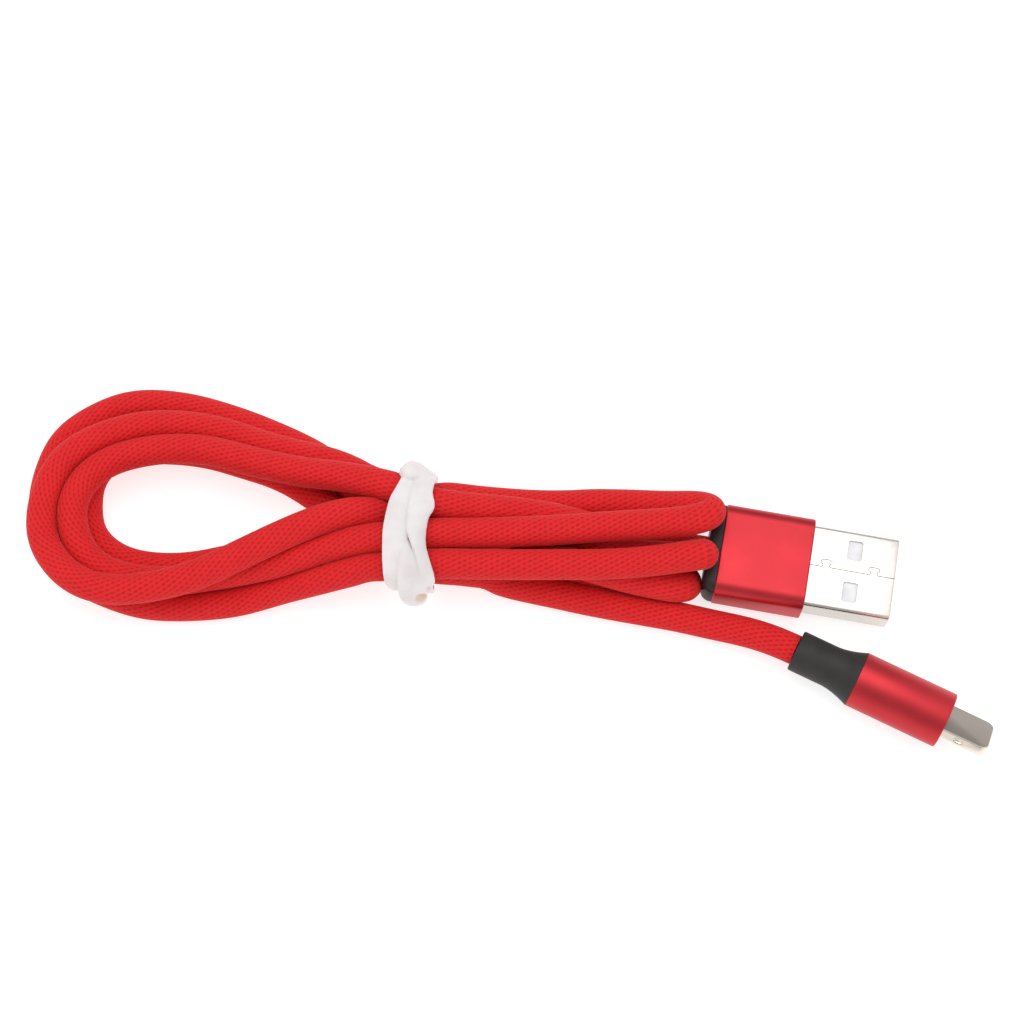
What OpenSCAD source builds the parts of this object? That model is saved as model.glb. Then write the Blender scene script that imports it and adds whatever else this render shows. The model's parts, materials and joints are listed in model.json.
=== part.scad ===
// Charging cable, tied up as a hank: an A-type plug and a flat eight-contact tab plug
// on one fabric-jacketed cord, with an elastic tie round the waist of the hank.
// Z is up and the table is z = 0. The origin is the middle of the flat underside of the
// A-type plug's housing, and +X runs along the hank towards the plugs.

/* [A-type plug] */
// Turn of the plug on the table, in degrees
a_yaw = -10.4; // [-30:0.1:30]
// Length of the aluminium housing
housing_l = 12.7; // [11:0.1:16]
// Width of the aluminium housing
housing_w = 13.6; // [13.4:0.1:16]
// Thickness of the aluminium housing
housing_t = 7.4; // [7:0.1:9]
// Radius of the housing's long edges
housing_r = 1.9; // [1:0.1:2.4]
// Wall of the housing
housing_wall = 0.7; // [0.5:0.05:0.7]
// How far the rear cap stands out behind the housing
cap_l = 1.8; // [1.5:0.1:5]
// Width of the steel shell, a standard size
shell_w = 12; // [12:0.1:12]
// Thickness of the steel shell, a standard size
shell_t = 4.5; // [4.5:0.1:4.5]
// Sheet thickness of the shell
shell_wall = 0.3; // [0.25:0.05:0.35]
// Length of shell that stands out of the housing
shell_out = 12.1; // [11.8:0.1:13]

/* [Tab plug] */
// Turn of the plug on the table, in degrees
t_yaw = -26.5; // [-40:0.5:0]
// Roll of the plug about its own axis, in degrees
t_roll = -40; // [-60:1:0]
// Outer diameter of the aluminium barrel
barrel_d = 8; // [7.8:0.1:9]
// Length of the barrel
barrel_l = 13.4; // [13:0.1:16]
// Wall of the barrel
barrel_wall = 0.5; // [0.3:0.05:0.55]
// Length of the rubber boot behind the barrel
boot_l = 9.3; // [8:0.1:14]
// Outer diameter of the boot at the cord
boot_d = 5.9; // [5.6:0.1:6.4]
// Width of the metal tab, a standard size
tab_w = 6.7; // [6.7:0.1:6.7]
// Thickness of the metal tab, a standard size
tab_t = 1.5; // [1.5:0.1:1.5]
// Length of tab that stands out of the barrel
tab_out = 6.6; // [6.4:0.1:6.8]

/* [Cord and tie] */
// Outer diameter of the fabric-jacketed cord
cord_d = 4.3; // [4:0.1:4.5]
// Width of the elastic tie along the hank
tie_w = 7.6; // [6:0.1:9]
// Thickness of the elastic tie
tie_t = 0.9; // [0.7:0.1:0.9]
// Gap between the tie and the hank
tie_gap = 0.3; // [0.2:0.05:0.4]

/* [Hidden] */
$fn = 48;
eps = 0.01;
fit = 0.03;
// Length by which a cutting shape runs past the face it cuts
past = 1;
// Gap between parts that are moulded or stacked one behind the other
seat = 0.05;

// A-type plug, in its own frame: x along the nose, centred on the housing
a_z = housing_t / 2;
front_x = housing_l / 2;
rear_x = -housing_l / 2;
front_wall = 1.0;
nose_x = front_x + shell_out;
shell_in = 6.5;
shell_x0 = front_x - shell_in;
shell_corner = 0.55;
shell_inner_corner = 0.25;
block_l = 3.6;
window_l = 2.05;
window_w = 2.9;
window_y = 3.1;
window_x = front_x + 6.1;
tongue_t = 1.85;
tongue_w = shell_w - 2 * shell_wall - 2 * fit;
tongue_top = a_z + shell_t / 2 - shell_wall - fit;
tongue_bottom = tongue_top - tongue_t;
tongue_inset = 0.5;
strip_t = 0.14;
strip_w = 1.0;
strip_inset_power = 1.2;
strip_inset_data = 2.2;
strip_y = [3.5, 1.0, -1.0, -3.5];
strip_tail = 1.0;
cap_plug_l = 1.0;
cap_inset = 0.2;
cap_corner = 1.6;
cap_plug_corner = 1.1;
crimp_wall = 0.35;
crimp_end = 0.1;
a_crimp_x0 = rear_x + cap_plug_l + seat;
a_crimp_l = 1.2;
a_cord_x1 = a_crimp_x0 + a_crimp_l + crimp_end;

// Leads: where they leave the cord, and how far they stay from it and from the strips
lead_r = [0.45, 0.38, 0.38, 0.45];
lead_y = [0.85, 0.5, -0.5, -0.85];
lead_z = [-0.35, 0.45, 0.45, -0.35];
a_lead_start = 0.4;
a_lead_end = 0.5;
a_lead_drop = 0.2;
t_lead_r = 0.3;
t_lead_start = 0.2;
t_lead_spread = 2;
t_lead_end_z = 0.1;

// Tab plug, in its own frame: x along the tab, centred on the barrel
t_pos = [18.35, -20.3, barrel_d / 2];
t_front = barrel_l / 2;
t_rear = -barrel_l / 2;
tab_root_x = t_front - 4.2;
tab_tip_x = t_front + tab_out;
tab_corner_r = 1.3;
tab_pocket_l = 4.6;
tab_pocket_w = 5.7;
tab_pocket_t = 0.6;
tab_pocket_x1 = tab_tip_x - 1.0;
detent_x = tab_tip_x - 4.1;
detent_l = 1.3;
detent_r = 0.45;
detent_out = 0.1;
pad_pitch = 0.64;
pad_w = 0.4;
pad_l = 3.4;
pad_t = 0.12;
pad_count = 8;
board_l = 6.0;
board_w = 5.2;
board_t = 0.6;
board_x0 = tab_root_x - board_l;
shield_w = 5.9;
shield_t = 3.2;
shield_wall = 0.15;
shield_inset = 0.4;
shield_corner = 0.4;
shield_inner_corner = 0.25;
shield_end = 0.1;
chip_side = 2.4;
chip_t = 0.7;
chip_x = 3.0;
capacitor = [0.6, 0.9, 0.4];
capacitor_x = 1.6;
capacitor_y = 1.5;
spigot_l = 0.8;
mould_recess = 0.25;
boot_straight = 0.55 * boot_l;
boot_flare_steps = 12;
boot_flare_power = 1.7;
boot_rim = [[0.35, 0], [0.1, 0.1], [0, 0.4]];
t_crimp_x0 = t_rear + crimp_end;
t_crimp_l = 1.3;
t_cord_x0 = t_rear - boot_l;
t_cord_x1 = t_crimp_x0 + t_crimp_l + crimp_end;

// Cord: routes are hand-set points in millimetres
cord_r = cord_d / 2;
cord_sides = 10;
a_exit = [(rear_x - cap_l) * cos(a_yaw), (rear_x - cap_l) * sin(a_yaw), a_z];
t_exit = [t_pos.x + t_cord_x0 * cos(t_yaw), t_pos.y + t_cord_x0 * sin(t_yaw), t_pos.z];
a_straight = a_exit - 2 * [cos(a_yaw), sin(a_yaw), 0];
t_straight = t_exit - 2 * [cos(t_yaw), sin(t_yaw), 0];
stub_route = [a_exit, a_straight, [-12, 2.2, 3.7], [-13, 2.4, 3.8]];
tail_route = [
    [-33, -3.5, 2.4], [-31, -4, 2.3], [-29, -4.5, 2.2], [-27, -5, 2.2], [-25, -5.4, 2.2],
    [-23, -5.8, 2.2], [-20.5, -6.2, 2.2], [-18, -6.6, 2.2], [-15.5, -7, 2.2], [-13, -7.4, 2.2],
    [-10.5, -7.8, 2.2], [-8, -8.3, 2.2], [-5.5, -9, 2.4], [-3, -9.9, 2.8], [-1, -10.75, 3.3],
    [0.5, -11.4, 3.7], t_straight, t_exit
];

// Hank: the outer shape that the turns of cord fill
loop_c = [-88, 9.2];
loop_r = 17.3;
loop_h = 9.5;
eye_c = [-88, 8.5];
eye_r = 5.2;
eye_tip = [-67, 7.5];
eye_tip_r = 1.2;
neck_y0 = -4.9;
neck_y1 = 10.7;
neck_z0 = 1.25;
neck_z1 = 12.7;
neck_r = 4.6;
neck_x0 = -66;
neck_x1 = -39;
flare_c = [-66, 2.8];
flare_r = 8.4;
tie_x = -50.2;
fold_h = 12.2;
fold_x0 = neck_x1 - 1;
fold_x1 = -12;
fold_outline = [
    [fold_x0, neck_y0], [-32, -6], [-32, -1.9], [-22, -3.4],
    [fold_x1, -4.9], [fold_x1, 9.6], [fold_x0, neck_y1]
];
tip_z0 = housing_t + 0.3;
tip_r = 2.2;
tip_ends = [[-6.8, 7.4], [-8.6, -1]];

// ---------------------------------------------------------------- helpers

// Rectangle with round corners, centred in x and standing on y = v0
module rounded_rect(w, h, r, v0 = 0) {
    translate([-w / 2 + r, v0]) square([w - 2 * r, h]);
    translate([-w / 2, v0 + r]) square([w, h - 2 * r]);
    for (sx = [-1, 1], v = [v0 + r, v0 + h - r])
        translate([sx * (w / 2 - r), v]) circle(r);
}

// Extrude a profile drawn in (y, z) along x
module along_x(x0, x1) {
    translate([x0, 0, 0]) rotate([90, 0, 90]) linear_extrude(x1 - x0) children();
}

// Turn a profile drawn as (x, radius) round the x axis
module turned_x() {
    rotate([0, 90, 0]) rotate([0, 0, 90]) rotate_extrude() children();
}

// Straight round rod between two points
module rod(p, q, r) {
    d = q - p;
    len = norm(d);
    translate(p) rotate([0, acos(d.z / len), atan2(d.y, d.x)]) cylinder(r = r, h = len);
}

module at_a() {
    rotate([0, 0, a_yaw]) children();
}

module at_t() {
    translate(t_pos) rotate([0, 0, t_yaw]) rotate([t_roll, 0, 0]) children();
}

function unit(v) = v / norm(v);
function heading(p, i) = unit(p[min(i + 1, len(p) - 1)] - p[max(i - 1, 0)]);
function side_of(t) = unit(cross([0, 0, 1], t));
function ring(p, i, r, n) =
    let (t = heading(p, i), s = side_of(t), u = cross(t, s))
    [for (k = [0:n - 1]) p[i] + r * (cos(360 * k / n) * s + sin(360 * k / n) * u)];

// Tube swept along a list of points
module swept_tube(p, r, n) {
    m = len(p);
    points = [for (i = [0:m - 1]) each ring(p, i, r, n)];
    sides = [for (i = [0:m - 2], k = [0:n - 1])
        let (k2 = (k + 1) % n)
        [(i + 1) * n + k, (i + 1) * n + k2, i * n + k2, i * n + k]];
    start = [for (k = [0:n - 1]) k];
    end = [for (k = [n - 1:-1:0]) (m - 1) * n + k];
    polyhedron(points, concat([start, end], sides));
}

// ---------------------------------------------------------------- A-type plug

// Folded steel shell, with the four latch windows
module a_shell() {
    color("gainsboro") at_a() difference() {
        along_x(shell_x0, nose_x)
            rounded_rect(shell_w, shell_t, shell_corner, a_z - shell_t / 2);
        along_x(shell_x0 - past, nose_x + past)
            rounded_rect(shell_w - 2 * shell_wall, shell_t - 2 * shell_wall,
                shell_inner_corner, a_z - shell_t / 2 + shell_wall);
        for (sy = [-1, 1])
            translate([window_x - window_l / 2, sy * window_y - window_w / 2, 0])
                cube([window_l, window_w, housing_t]);
    }
}

// Plastic tongue that carries the contact strips
module a_tongue() {
    color("whitesmoke") at_a() difference() {
        translate([shell_x0, -tongue_w / 2, tongue_bottom])
            cube([nose_x - tongue_inset - shell_x0, tongue_w, tongue_t]);
        for (i = [0:3]) strip(i, fit);
    }
}

// Contact strip i, grown by a clearance for its groove
module strip(i, gap = 0) {
    inset = abs(strip_y[i]) > 2 ? strip_inset_power : strip_inset_data;
    x0 = shell_x0 - strip_tail;
    x1 = nose_x - tongue_inset - inset;
    translate([x0 - gap, strip_y[i] - strip_w / 2 - gap, tongue_bottom])
        cube([x1 - x0 + 2 * gap, strip_w + 2 * gap, strip_t + gap]);
}

module contact(i) {
    color("gold") at_a() strip(i);
}

module a_contact_power() { contact(0); }
module a_contact_data_minus() { contact(1); }
module a_contact_data_plus() { contact(2); }
module a_contact_ground() { contact(3); }

// Block that clamps the strips at the back of the shell
module a_wire_block() {
    low = a_z - shell_t / 2 + shell_wall + fit;
    color("white") at_a()
        translate([shell_x0, -tongue_w / 2, low])
            cube([block_l, tongue_w, tongue_bottom - fit - low]);
}

// Anodised aluminium housing, with a slot for the shell at the front
module a_housing() {
    inner_w = housing_w - 2 * housing_wall;
    inner_t = housing_t - 2 * housing_wall;
    color("crimson") at_a() difference() {
        along_x(rear_x, front_x) rounded_rect(housing_w, housing_t, housing_r);
        along_x(rear_x - past, front_x - front_wall)
            rounded_rect(inner_w, inner_t, housing_r - housing_wall, housing_wall);
        along_x(front_x - front_wall - past, front_x + past)
            rounded_rect(shell_w + 2 * fit, shell_t + 2 * fit, shell_corner + fit,
                a_z - shell_t / 2 - fit);
    }
}

// Moulded rear cap, pressed into the back of the housing
module a_end_cap() {
    w = housing_w - 2 * cap_inset;
    t = housing_t - 2 * cap_inset;
    plug_w = housing_w - 2 * housing_wall - 2 * fit;
    plug_t = housing_t - 2 * housing_wall - 2 * fit;
    color("dimgray") at_a() difference() {
        union() {
            intersection() {
                along_x(rear_x - cap_l, rear_x)
                    rounded_rect(w, t, cap_corner, cap_inset);
                linear_extrude(housing_t) {
                    translate([rear_x - cap_l + cap_corner, -w / 2])
                        square([cap_l - cap_corner, w]);
                    translate([rear_x - cap_l, -w / 2 + cap_corner])
                        square([cap_l, w - 2 * cap_corner]);
                    for (sy = [-1, 1])
                        translate([rear_x - cap_l + cap_corner, sy * (w / 2 - cap_corner)])
                            circle(cap_corner);
                }
            }
            along_x(rear_x - eps, rear_x + cap_plug_l)
                rounded_rect(plug_w, plug_t, cap_plug_corner, housing_wall + fit);
        }
        translate([rear_x - cap_l - past, 0, a_z]) rotate([0, 90, 0])
            cylinder(r = cord_r + fit, h = cap_l + cap_plug_l + 2 * past);
    }
}

// Nylon moulding that fills the back of the housing round the leads
module a_inner_mould() {
    x0 = rear_x + cap_plug_l + seat;
    x1 = shell_x0 - seat;
    wall = housing_wall + seat;
    color("ivory") at_a() difference() {
        along_x(x0, x1)
            rounded_rect(housing_w - 2 * wall, housing_t - 2 * wall, cap_plug_corner, wall);
        translate([x0 - past, 0, a_z]) rotate([0, 90, 0])
            cylinder(r = cord_r + crimp_wall + 2 * fit,
                h = a_cord_x1 + a_lead_start - x0 + past);
        for (i = [0:3]) {
            a_lead_rod(i, fit);
            strip(i, fit);
        }
    }
}

// Steel ring crimped on the end of the jacket
module a_crimp_ring() {
    color("silver") at_a() crimp_ring(a_crimp_x0, a_crimp_l, a_z);
}

module crimp_ring(x0, l, z) {
    translate([x0, 0, z]) rotate([0, 90, 0]) difference() {
        cylinder(r = cord_r + fit + crimp_wall, h = l);
        translate([0, 0, -past]) cylinder(r = cord_r + fit, h = l + 2 * past);
    }
}

// Jacketed end of the cord inside the plug
module a_cord_end() {
    x0 = rear_x - cap_l;
    color("red") at_a() translate([x0, 0, a_z]) rotate([0, 90, 0])
        cylinder(r = cord_r, h = a_cord_x1 - x0);
}

// Insulated lead i, from the end of the cord to its contact strip
module a_lead_rod(i, gap = 0) {
    p = [a_cord_x1 + a_lead_start, lead_y[i], a_z + lead_z[i]];
    q = [shell_x0 - strip_tail - a_lead_end, strip_y[i], tongue_bottom - a_lead_drop];
    rod(p, q, lead_r[i] + gap);
}

module a_lead_red() { color("red") at_a() a_lead_rod(0); }
module a_lead_white() { color("white") at_a() a_lead_rod(1); }
module a_lead_green() { color("green") at_a() a_lead_rod(2); }
module a_lead_black() { color("black") at_a() a_lead_rod(3); }

// ---------------------------------------------------------------- tab plug

// Metal tab with rounded tip corners, side detents and a pocket for the contacts
module tab_frame() {
    color("darkgray") at_t() difference() {
        translate([0, 0, -tab_t / 2]) linear_extrude(tab_t) {
            translate([tab_root_x, -tab_w / 2])
                square([tab_tip_x - tab_corner_r - tab_root_x, tab_w]);
            translate([tab_root_x, -tab_w / 2 + tab_corner_r])
                square([tab_tip_x - tab_root_x, tab_w - 2 * tab_corner_r]);
            for (sy = [-1, 1])
                translate([tab_tip_x - tab_corner_r, sy * (tab_w / 2 - tab_corner_r)])
                    circle(tab_corner_r);
        }
        for (sy = [-1, 1])
            translate([detent_x - detent_l / 2, sy * (tab_w / 2 + detent_out), 0])
                rotate([0, 90, 0]) cylinder(h = detent_l, r = detent_r);
        tab_pocket(0);
    }
}

// Space of the contact insert on the underside of the tab
module tab_pocket(gap) {
    translate([tab_pocket_x1 - tab_pocket_l + gap, -tab_pocket_w / 2 + gap, -tab_t / 2 - gap])
        cube([tab_pocket_l - 2 * gap, tab_pocket_w - 2 * gap, tab_pocket_t]);
}

// Insulating insert that holds the eight contacts
module tab_insulator() {
    color("ivory") at_t() difference() {
        intersection() {
            tab_pocket(fit);
            translate([0, -tab_w, -tab_t / 2]) cube([tab_tip_x, 2 * tab_w, tab_t]);
        }
        tab_pads(fit);
    }
}

module tab_pads(gap = 0) {
    x0 = tab_pocket_x1 - tab_pocket_l / 2 - pad_l / 2;
    for (i = [0:pad_count - 1])
        translate([x0 - gap, (i - (pad_count - 1) / 2) * pad_pitch - pad_w / 2 - gap,
            -tab_t / 2 - gap])
            cube([pad_l + 2 * gap, pad_w + 2 * gap, pad_t + 2 * gap]);
}

// Eight gold contacts
module tab_contacts() {
    color("gold") at_t() tab_pads();
}

module tab_board() {
    color("darkgreen") at_t()
        translate([board_x0, -board_w / 2, -board_t / 2])
            cube([board_l - fit, board_w, board_t]);
}

module tab_chip() {
    color("black") at_t()
        translate([board_x0 + chip_x, -chip_side / 2, board_t / 2])
            cube([chip_side, chip_side, chip_t]);
}

// Two small capacitors beside the chip
module tab_capacitors() {
    color("tan") at_t() for (sy = [-1, 1])
        translate([board_x0 + capacitor_x, sy * capacitor_y - capacitor.y / 2, board_t / 2])
            cube(capacitor);
}

// Folded steel can round the board
module tab_shield() {
    x0 = board_x0 + shield_inset;
    x1 = tab_root_x - shield_end;
    color("lightgray") at_t() difference() {
        along_x(x0, x1) rounded_rect(shield_w, shield_t, shield_corner, -shield_t / 2);
        along_x(x0 - past, x1 + past)
            rounded_rect(shield_w - 2 * shield_wall, shield_t - 2 * shield_wall,
                shield_inner_corner, -shield_t / 2 + shield_wall);
    }
}

// Anodised aluminium barrel
module tab_barrel() {
    color("crimson") at_t() translate([t_rear, 0, 0]) rotate([0, 90, 0]) difference() {
        cylinder(d = barrel_d, h = barrel_l);
        translate([0, 0, -past])
            cylinder(r = barrel_d / 2 - barrel_wall, h = barrel_l + 2 * past);
    }
}

// Nylon moulding that holds the tab, board and leads in the barrel
module tab_inner_mould() {
    x0 = t_rear + spigot_l + seat;
    x1 = t_front - mould_recess;
    color("black") at_t() difference() {
        translate([x0, 0, 0]) rotate([0, 90, 0])
            cylinder(r = barrel_d / 2 - barrel_wall - fit, h = x1 - x0);
        along_x(board_x0 - fit, tab_root_x + fit)
            rounded_rect(shield_w + 2 * fit, shield_t + 2 * fit, shield_corner,
                -shield_t / 2 - fit);
        translate([tab_root_x, -tab_w / 2 - fit, -tab_t / 2 - fit])
            cube([barrel_l, tab_w + 2 * fit, tab_t + 2 * fit]);
        translate([x0 - past, 0, 0]) rotate([0, 90, 0])
            cylinder(r = cord_r + crimp_wall + 2 * fit,
                h = t_cord_x1 + t_lead_start - x0 + past);
        for (i = [0:3]) t_lead_rod(i, fit);
    }
}

// Rubber boot that keeps the cord from kinking
module tab_boot() {
    r0 = boot_d / 2;
    r1 = barrel_d / 2;
    spigot_r = r1 - barrel_wall - fit;
    bore = cord_r + fit;
    crimp_r = bore + crimp_wall + fit;
    rim = [for (c = boot_rim) [r0 - c[0], -boot_l + c[1]]];
    flare = [for (i = [0:boot_flare_steps])
        let (f = i / boot_flare_steps)
        [r0 + (r1 - r0) * pow(f, boot_flare_power), (boot_l - boot_straight) * (f - 1)]];
    profile = concat(
        [[bore, -boot_l]], rim, flare,
        [[spigot_r, 0], [spigot_r, spigot_l], [crimp_r, spigot_l], [crimp_r, 0], [bore, 0]]
    );
    color("black") at_t() translate([t_rear, 0, 0]) rotate([0, 90, 0])
        rotate_extrude() polygon(profile);
}

module tab_crimp_ring() {
    color("silver") at_t() crimp_ring(t_crimp_x0, t_crimp_l, 0);
}

module tab_cord_end() {
    color("red") at_t() translate([t_cord_x0, 0, 0]) rotate([0, 90, 0])
        cylinder(r = cord_r, h = t_cord_x1 - t_cord_x0);
}

module t_lead_rod(i, gap = 0) {
    p = [t_cord_x1 + t_lead_start, lead_y[i], lead_z[i]];
    q = [board_x0 - t_lead_start, lead_y[i] * t_lead_spread, t_lead_end_z];
    rod(p, q, t_lead_r + gap);
}

module tab_lead_red() { color("red") at_t() t_lead_rod(0); }
module tab_lead_white() { color("white") at_t() t_lead_rod(1); }
module tab_lead_green() { color("green") at_t() t_lead_rod(2); }
module tab_lead_black() { color("black") at_t() t_lead_rod(3); }

// ---------------------------------------------------------------- cord and tie

// Outer shape of the tied hank: loop, waist, and the folds that lie over the plug's cap
module cord_hank() {
    color("red") union() {
        linear_extrude(loop_h) difference() {
            hull() {
                translate(loop_c) circle(loop_r);
                translate(flare_c) circle(flare_r);
            }
            hull() {
                translate(eye_c) circle(eye_r);
                translate(eye_tip) circle(eye_tip_r);
            }
        }
        neck(neck_x0, neck_x1, 0);
        linear_extrude(fold_h) polygon(fold_outline);
        translate([0, 0, tip_z0]) linear_extrude(fold_h - tip_z0) fold_tips();
    }
}

// Waist of the hank, grown by a gap for the inside of the tie
module neck(x0, x1, gap) {
    w = neck_y1 - neck_y0 + 2 * gap;
    translate([0, (neck_y0 + neck_y1) / 2, 0]) along_x(x0, x1)
        rounded_rect(w, neck_z1 - neck_z0 + 2 * gap, neck_r + gap, neck_z0 - gap);
}

// Plan of the two folds that lie on the plug's cap
module fold_tips() {
    for (c = tip_ends) {
        translate([fold_x1 - past, c.y - tip_r])
            square([c.x - fold_x1 + past, 2 * tip_r]);
        translate(c) circle(tip_r);
    }
}

module cord_stub() {
    color("red") swept_tube(stub_route, cord_r, cord_sides);
}

module cord_tail() {
    color("red") swept_tube(tail_route, cord_r, cord_sides);
}

// Elastic tie round the waist
module tie_band() {
    color("whitesmoke") difference() {
        neck(tie_x - tie_w / 2, tie_x + tie_w / 2, tie_gap + tie_t);
        neck(tie_x - tie_w, tie_x + tie_w, tie_gap);
    }
}

a_shell();
a_tongue();
a_wire_block();
a_contact_power();
a_contact_data_minus();
a_contact_data_plus();
a_contact_ground();
a_housing();
a_end_cap();
a_inner_mould();
a_crimp_ring();
a_cord_end();
a_lead_red();
a_lead_white();
a_lead_green();
a_lead_black();
tab_frame();
tab_insulator();
tab_contacts();
tab_board();
tab_chip();
tab_capacitors();
tab_shield();
tab_barrel();
tab_inner_mould();
tab_boot();
tab_crimp_ring();
tab_cord_end();
tab_lead_red();
tab_lead_white();
tab_lead_green();
tab_lead_black();
cord_hank();
cord_stub();
cord_tail();
tie_band();
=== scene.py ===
import json
import math

import bmesh
import bpy
import numpy as np
from mathutils import Matrix, Vector


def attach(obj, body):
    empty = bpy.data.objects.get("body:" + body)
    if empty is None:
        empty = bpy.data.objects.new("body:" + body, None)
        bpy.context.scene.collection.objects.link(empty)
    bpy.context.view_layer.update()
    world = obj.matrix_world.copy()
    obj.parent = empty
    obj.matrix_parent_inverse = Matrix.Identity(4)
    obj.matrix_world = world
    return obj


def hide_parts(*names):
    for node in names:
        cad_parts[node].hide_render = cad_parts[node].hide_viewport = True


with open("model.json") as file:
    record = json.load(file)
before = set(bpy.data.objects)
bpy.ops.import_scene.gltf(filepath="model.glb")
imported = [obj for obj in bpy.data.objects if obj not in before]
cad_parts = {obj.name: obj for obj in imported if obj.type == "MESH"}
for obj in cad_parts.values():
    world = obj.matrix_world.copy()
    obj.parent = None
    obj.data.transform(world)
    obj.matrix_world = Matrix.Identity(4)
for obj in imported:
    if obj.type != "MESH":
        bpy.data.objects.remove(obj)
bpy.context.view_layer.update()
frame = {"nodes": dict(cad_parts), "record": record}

MM = 0.001
MOUNTS = {m["name"]: m for m in frame["record"]["mounts"]}

# ---- sizes, in millimetres
CORD_D = 4.3
CORD_R = CORD_D / 2
TABLE_GAP = 0.03

# A-type plug, in its own frame: x along the nose, y across, z up from the table
HOUSING = {"length": 12.7, "width": 13.6, "height": 7.4, "corner": 1.9, "wall": 0.7}
SHELL = {"out": 12.1, "inside": 6.5, "width": 12.0, "height": 4.5, "corner": 0.55, "wall": 0.3}
WINDOW = {"x": 6.1, "y": 3.1, "length": 2.05, "width": 2.9, "corner": 0.35, "flare": 0.05}
SEAM = {"half_gap": 0.055, "depth": 0.12, "dovetails": (2.35, 9.1)}
CAP_L = 1.8
CAP = {"inset": 0.2, "corner": 1.6, "edge": 0.5}
A_Z = HOUSING["height"] / 2
A_FRONT = HOUSING["length"] / 2
A_REAR = -A_FRONT
A_NOSE = A_FRONT + SHELL["out"]

# Tab plug, in its own frame: x along the tab
BARREL = {"length": 13.4, "d": 8.0, "wall": 0.5}
BOOT = {"length": 9.3, "d": 5.9, "straight": 0.55, "power": 1.7}
TAB = {"width": 6.7, "height": 1.5, "out": 6.6, "corner": 1.3, "root": 4.2, "bevel": 0.14}
POCKET = {"from_tip": 1.0, "length": 4.6, "width": 5.7, "corner": 0.35, "depth": 0.6}
DETENT = {"from_tip": 4.1, "half_length": 0.68, "half_depth": 0.36, "half_height": 0.44}
T_FRONT = BARREL["length"] / 2
T_REAR = -T_FRONT
T_TIP = T_FRONT + TAB["out"]
T_ROLL = math.radians(-40)


def plug_frame(mount, reach, height, roll=0.0):
    """Matrix from a plug's own frame, in millimetres, to the part's frame, in metres."""
    axis = Vector(MOUNTS[mount]["axis"])
    nose = Vector(MOUNTS[mount]["pos_m"])
    yaw = math.atan2(axis.y, axis.x)
    origin = nose - axis * reach * MM
    origin.z = height * MM
    turn = Matrix.Rotation(yaw, 4, "Z") @ Matrix.Rotation(roll, 4, "X")
    return Matrix.Translation(origin) @ turn @ Matrix.Scale(MM, 4)


A_FRAME = plug_frame("a_plug_nose", A_NOSE, 0)
T_FRAME = plug_frame("tab_plug_nose", T_TIP, BARREL["d"] / 2, T_ROLL)


def place(matrix, points):
    """Points of a plug's own frame, as millimetres in the part's frame."""
    return [np.array(matrix @ Vector(p)) / MM for p in points]


# ---- camera
CAMERA_TARGET = Vector((-35.75, 8.70, 0)) * MM
CAMERA_DISTANCE = 310 * MM
CAMERA_ELEVATION = math.radians(71)
CAMERA_LENS = 75


def make_camera():
    data = bpy.data.cameras.new("camera")
    data.lens = CAMERA_LENS
    data.clip_start = 0.01
    camera = bpy.data.objects.new("camera", data)
    bpy.context.scene.collection.objects.link(camera)
    back = Vector((0, -math.cos(CAMERA_ELEVATION), math.sin(CAMERA_ELEVATION)))
    camera.location = CAMERA_TARGET + back * CAMERA_DISTANCE
    camera.rotation_euler = (math.pi / 2 - CAMERA_ELEVATION, 0, 0)
    bpy.context.scene.camera = camera


make_camera()

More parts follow.
